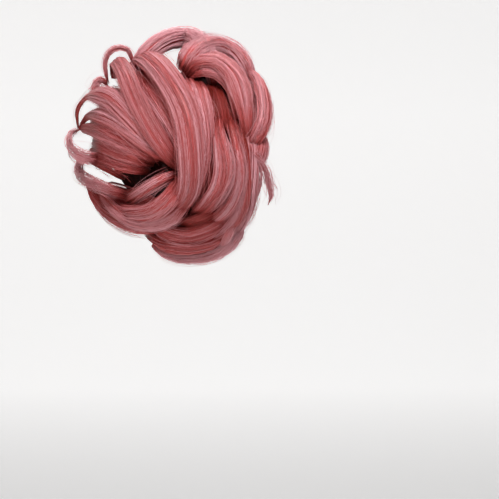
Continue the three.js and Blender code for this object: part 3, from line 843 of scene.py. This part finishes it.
def round_the_front(paths, rng):
    """Paths of the wound strands, pushed aside to the rim of the open front."""
    dx = paths[..., 0] - FRONT_GAP["x"]
    dz = paths[..., 2] - FRONT_GAP["z"]
    inside = np.hypot(dx / FRONT_GAP["half_width"], dz / FRONT_GAP["half_height"])
    edge = 1.0 + rng.uniform(0.0, GAP_RIM["spread"], len(paths))[:, None]
    in_gap = (inside < edge) & (paths[..., 1] < CENTRE[1])
    push = np.where(in_gap, edge / np.maximum(inside, GAP_RIM["nearest"]), 1.0)
    x = FRONT_GAP["x"] + dx * push
    z = FRONT_GAP["z"] + dz * push
    room = np.maximum((CORE_REACH + GAP_RIM["height"]) ** 2 - x * x - z * z, GAP_RIM["least_room"])
    y = np.where(push > 1.0, CENTRE[1] - np.sqrt(room), paths[..., 1])
    return np.stack([x, y, z], -1)


def core_outside(made, rng):
    """Wound strands over the cup."""
    n = WOUND["count"]
    share = np.linspace(0.0, 1.0, WOUND["stations"])
    polar = mix(CORE_FRONT + WOUND["edge"], CORE_BASE, share)
    clock = rng.uniform(0, 360, n)[:, None] - FLUTE_TWIST * share
    clock = clock + rng.normal(0, WOUND["stray"], n)[:, None] * np.sin(FULL_TURN * share)
    flute = np.cos(np.radians(CORE_FLUTES * (clock + FLUTE_TWIST * share)))
    reach = CORE_REACH + swell(clock, polar) + FLUTE_DEPTH * np.sin(math.pi * share) * flute
    reach = reach + rng.uniform(*WOUND["height"], n)[:, None]
    paths = round_the_front(bun_point(clock, np.broadcast_to(polar, clock.shape), reach), rng)
    tint = tints(rng, n, *WOUND["tint"])
    radii = WOUND["radius"] * rng.uniform(*CORE_RADIUS_SPREAD, n)
    # low painted light: painted shade on the under-layer
    depth = mix(*WOUND["depth"], depth_of(paths, "under"))
    made.tubes(paths, unit(paths - CENTRE), radii, tint, depth, WOUND["rows"])


def core_inside(made, rng):
    """Strands on the wall of the hollow."""
    n = INSIDE["count"]
    share = np.linspace(0.0, 1.0, INSIDE["stations"])
    polar = mix(INSIDE["front"], HOLLOW_BASE, share)
    clock = rng.uniform(0, 360, n)[:, None] + INSIDE["twist"] * share
    clock = clock + rng.normal(0, INSIDE["stray"], n)[:, None] * np.sin(math.pi * share)
    reach = CORE_HOLLOW - rng.uniform(*INSIDE["height"], n)[:, None]
    paths = bun_point(*np.broadcast_arrays(clock, polar, reach))
    tint = tints(rng, n, *INSIDE["tint"])
    radii = INSIDE["radius"] * rng.uniform(*CORE_RADIUS_SPREAD, n)
    # painted shade all over the hollow's wall
    depth = np.full(clock.shape, INSIDE["depth"])
    made.tubes(paths, -unit(paths - CENTRE), radii, tint, depth, INSIDE["rows"])


def core_wall(made):
    """The dense wall of the cup, which is the solid itself."""
    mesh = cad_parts["hair_core"].data
    mesh.calc_loop_triangles()
    points = np.empty(len(mesh.vertices) * 3, np.float32)
    mesh.vertices.foreach_get("co", points)
    points = points.reshape(-1, 3) / MM
    triangles = np.empty(len(mesh.loop_triangles) * 3, np.int32)
    mesh.loop_triangles.foreach_get("vertices", triangles)
    offset = points - CENTRE
    clock = np.arctan2(offset[:, 2], offset[:, 0])
    polar = np.arccos(np.clip(-unit(offset)[:, 1], -1, 1))
    twisted = clock + polar * FLUTE_TWIST / WALL_FLOW["twist_over"]
    flow = pairs(polar * WALL_FLOW["polar"], twisted * WALL_FLOW["clock"] + WALL_FLOW["start"])
    # the wall is painted deep all over, as painted shade
    made.body(points, triangles.reshape(-1, 3), WALL["tint"], WALL["depth"], flow, WALL["rows"])


def core_piece(material):
    """The under-layer: a hollow cup of wound strands on a dense wall."""
    rng = np.random.default_rng(CORE_SEED)
    made = Batch()
    core_outside(made, rng)
    core_inside(made, rng)
    core_wall(made)
    piece = made.build("hair_core_hair", material)
    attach(piece, "root")
    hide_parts("hair_core")


def elastic_piece(material):
    """The covered elastic: a round cord with a fine spiral rib."""
    a = np.linspace(0, FULL_TURN, COVER["rings"], endpoint=False)[:, None]
    b = np.linspace(0, FULL_TURN, COVER["sides"], endpoint=False)
    r = ELASTIC_CORD * (COVER["mean"] + COVER["rib"] * np.cos(COVER["ribs"] * a + COVER["slant"] * b))
    ring = ELASTIC_RADIUS + r * np.cos(b)
    grid = np.stack([ring * np.cos(a), r * np.sin(b), ring * np.sin(a)], -1)
    grid = np.concatenate([grid, grid[:1]], 0)
    along = np.linspace(0, COVER_FLOW["length"], len(grid))[:, None]
    flow = pairs(along, b / COVER_FLOW["round"])
    made = Batch()
    made.sheet(grid, tint=0.0, depth=0.0, flow=flow, rows=COVER["rows"], capped=False)
    piece = made.build("elastic_band_cover", material)
    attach(piece, "root")
    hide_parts("elastic_band")


def opaque(colour):
    """A colour with its alpha."""
    return (*colour, 1.0)


def new_material(name):
    """A material with its node tree and its shader."""
    material = bpy.data.materials.new(name)
    material.use_nodes = True
    return material, material.node_tree, material.node_tree.nodes["Principled BSDF"]


def set_inputs(tree, node, inputs):
    """Gives each input of a node its value, or another node's output."""
    for key, value in inputs.items():
        if isinstance(value, bpy.types.NodeSocket):
            tree.links.new(value, node.inputs[key])
        else:
            node.inputs[key].default_value = value


def add_node(tree, kind, inputs):
    """A new node with its inputs."""
    node = tree.nodes.new(kind)
    set_inputs(tree, node, inputs)
    return node


def add_math(tree, operation, *values):
    """The result of a calculation in a node tree."""
    node = tree.nodes.new("ShaderNodeMath")
    node.operation = operation
    set_inputs(tree, node, dict(enumerate(values)))
    return node.outputs[0]


def add_layer(tree, name):
    """The values of one of a piece's layers."""
    node = tree.nodes.new("ShaderNodeAttribute")
    node.attribute_name = name
    return node.outputs["Fac"]


def add_flow(tree):
    """Places on the streak map."""
    node = tree.nodes.new("ShaderNodeUVMap")
    node.uv_map = "Flow"
    return node.outputs["UV"]


def add_bump(tree, height, look):
    """A fine relief."""
    bump = {"Height": height, "Strength": look["strength"], "Distance": look["distance"]}
    return add_node(tree, "ShaderNodeBump", bump).outputs["Normal"]


def hair_material(name, look):
    """Fine straight fibre: each strand has its own tone, deeper inside the bun as painted shade, paler where
    raised as painted light.
    """
    material, tree, shader = new_material(name)
    stretch = add_node(tree, "ShaderNodeMapping", {
        "Vector": add_flow(tree),
        "Scale": (STREAK["along"], STREAK["across"], 1.0),
    })
    streak = add_node(tree, "ShaderNodeTexNoise", {
        "Vector": stretch.outputs["Vector"],
        "Scale": 1.0,
        "Detail": STREAK["detail"],
        "Roughness": STREAK["roughness"],
    }).outputs["Fac"]

    # tone of a strand: its own tint with soft streaks along it, paler where it is raised as painted light,
    # deeper as painted shade
    streak_tone = add_math(tree, "MULTIPLY_ADD", streak, STREAK["tone"], -STREAK["tone"] / 2)
    tint = add_math(tree, "ADD", add_layer(tree, "Tint"), streak_tone)
    raised = add_math(tree, "MULTIPLY", add_layer(tree, "Depth"), TONE_PARTS["depth"])
    level = add_math(tree, "MULTIPLY_ADD", tint, TONE_PARTS["tint"], raised)
    ramp = add_node(tree, "ShaderNodeValToRGB", {"Fac": level})
    stops = ramp.color_ramp.elements
    stops.new(RAMP["middle"])
    for stop, key in zip(stops, ("deep", "middle", "pale")):
        stop.position = RAMP[key]
        stop.color = opaque(look[key])

    least, most = (look["roughness"] + spread for spread in ROUGHNESS_SPREAD)
    rough = add_node(tree, "ShaderNodeMapRange", {"Value": streak, "To Min": least, "To Max": most})
    set_inputs(tree, shader, {
        "Base Color": ramp.outputs["Color"],
        "Roughness": rough.outputs["Result"],
        "Normal": add_bump(tree, streak, HAIR_BUMP),
        "Specular IOR Level": look["specular"],
        "Sheen Weight": SHEEN["weight"],
        "Sheen Roughness": SHEEN["roughness"],
        "Sheen Tint": opaque(SHEEN["tint"]),
    })
    return material


def elastic_material():
    """A matt cover with a diagonal weave."""
    material, tree, shader = new_material("covered_elastic")
    weave = add_node(tree, "ShaderNodeTexWave", {
        "Vector": add_flow(tree),
        "Scale": WEAVE["scale"],
        "Distortion": WEAVE["distortion"],
    })
    weave.wave_type = "BANDS"
    weave.bands_direction = "DIAGONAL"
    ramp = add_node(tree, "ShaderNodeValToRGB", {"Fac": weave.outputs["Fac"]})
    for stop, colour in zip(ramp.color_ramp.elements, (ELASTIC_DEEP, ELASTIC_PALE)):
        stop.color = opaque(colour)
    set_inputs(tree, shader, {
        "Base Color": ramp.outputs["Color"],
        "Roughness": ELASTIC_ROUGHNESS,
        "Normal": add_bump(tree, weave.outputs["Fac"], WEAVE_BUMP),
    })
    return material


def floor_material():
    """A pale wall that glows evenly, and a floor that glows about half as much."""
    material, tree, shader = new_material("studio_pale")
    place = tree.nodes.new("ShaderNodeNewGeometry")
    parts = add_node(tree, "ShaderNodeSeparateXYZ", {0: place.outputs["Position"]})
    glow = add_node(tree, "ShaderNodeMapRange", {
        "Value": parts.outputs["Z"],
        "From Min": FLOOR["z"],
        "From Max": FLOOR["z"] + GLOW["rise"],
        "To Min": GLOW["floor"],
        "To Max": GLOW["wall"],
    })
    set_inputs(tree, shader, {
        "Base Color": opaque(FLOOR_COLOUR),
        "Roughness": FLOOR_ROUGHNESS,
        "Emission Color": opaque(WHITE),
        "Emission Strength": glow.outputs["Result"],
    })
    return material


def add_sky():
    """A dim even light from all round."""
    world = bpy.data.worlds.new("studio")
    world.use_nodes = True
    light = world.node_tree.nodes["Background"]
    light.inputs["Color"].default_value = opaque(SKY["colour"])
    light.inputs["Strength"].default_value = SKY["strength"]
    bpy.context.scene.world = world


def add_floor():
    """A floor that bends up into a wall behind the bun."""
    profile = [(FLOOR["front"], 0.0), (FLOOR["back"], 0.0)]
    for i in range(1, BEND["steps"] + 1):
        a = math.pi / 2 * i / BEND["steps"]
        profile.append((FLOOR["back"] + BEND["radius"] * math.sin(a), BEND["radius"] * (1 - math.cos(a))))
    profile.append((FLOOR["back"] + BEND["radius"], FLOOR["wall_top"]))
    ahead = -away_from_bun(FACING, 0)
    aside = to_the_right(FACING) * FLOOR["half_width"]
    points = []
    for distance, height in profile:
        middle = ahead * distance + np.array([0, 0, FLOOR["z"] + height])
        points += [middle - aside, middle + aside]
    faces = [(2 * i, 2 * i + 1, 2 * i + 3, 2 * i + 2) for i in range(len(profile) - 1)]
    mesh = bpy.data.meshes.new("studio_floor")
    mesh.from_pydata(points, [], faces)
    mesh.shade_smooth()
    mesh.materials.append(floor_material())
    floor = bpy.data.objects.new("studio_floor", mesh)
    bpy.context.scene.collection.objects.link(floor)


def aim(made, place, back):
    """Puts a lamp or a camera in its place, with its back in a direction."""
    made.location = place
    made.rotation_mode = "QUATERNION"
    made.rotation_quaternion = Vector(back).to_track_quat("Z", "Y")
    bpy.context.scene.collection.objects.link(made)


def add_lamp(name, azimuth, elevation, distance, size, power, colour):
    """A soft round lamp that shines on the bun."""
    data = bpy.data.lights.new(name, "AREA")
    data.shape = "DISK"
    data.size = size
    data.energy = power
    data.color = colour
    away = away_from_bun(azimuth, elevation)
    aim(bpy.data.objects.new(name, data), CENTRE * MM + away * distance, away)


def add_camera():
    """A camera at the photograph's angle: the bun stands left of and above the middle of the picture."""
    right = to_the_right(FACING)
    back = away_from_bun(FACING, VIEW_RISE)
    up = np.cross(back, right)
    middle = PICTURE_SIDE / 2
    target = CENTRE + (right * (middle - BUN_COLUMN) - up * (middle - BUN_ROW)) * PIXEL
    eye = CENTRE + back * VIEW_DISTANCE
    data = bpy.data.cameras.new("camera")
    data.sensor_width = SENSOR_WIDTH
    data.lens = VIEW_DISTANCE / PIXEL / PICTURE_SIDE * SENSOR_WIDTH
    data.clip_start, data.clip_end = CLIP
    camera = bpy.data.objects.new("camera", data)
    aim(camera, eye * MM, eye - target)
    bpy.context.scene.camera = camera


# Studio
bpy.context.scene.view_settings.view_transform = "Standard"
add_sky()
add_floor()
for values in LAMPS:
    add_lamp(*values)
add_camera()

# Hairpiece
hair = hair_material("pink_hair", HAIR_LOOK)
shaded = hair_material("shaded_hair", SHADED_LOOK)
rows = [dict(zip(COLUMNS, values)) for values in LOCKS]
for number, row in enumerate(rows):
    lock_piece(row, LOCK_SEED + number, hair)
loose_piece(rows, hair)
core_piece(shaded)
elastic_piece(elastic_material())
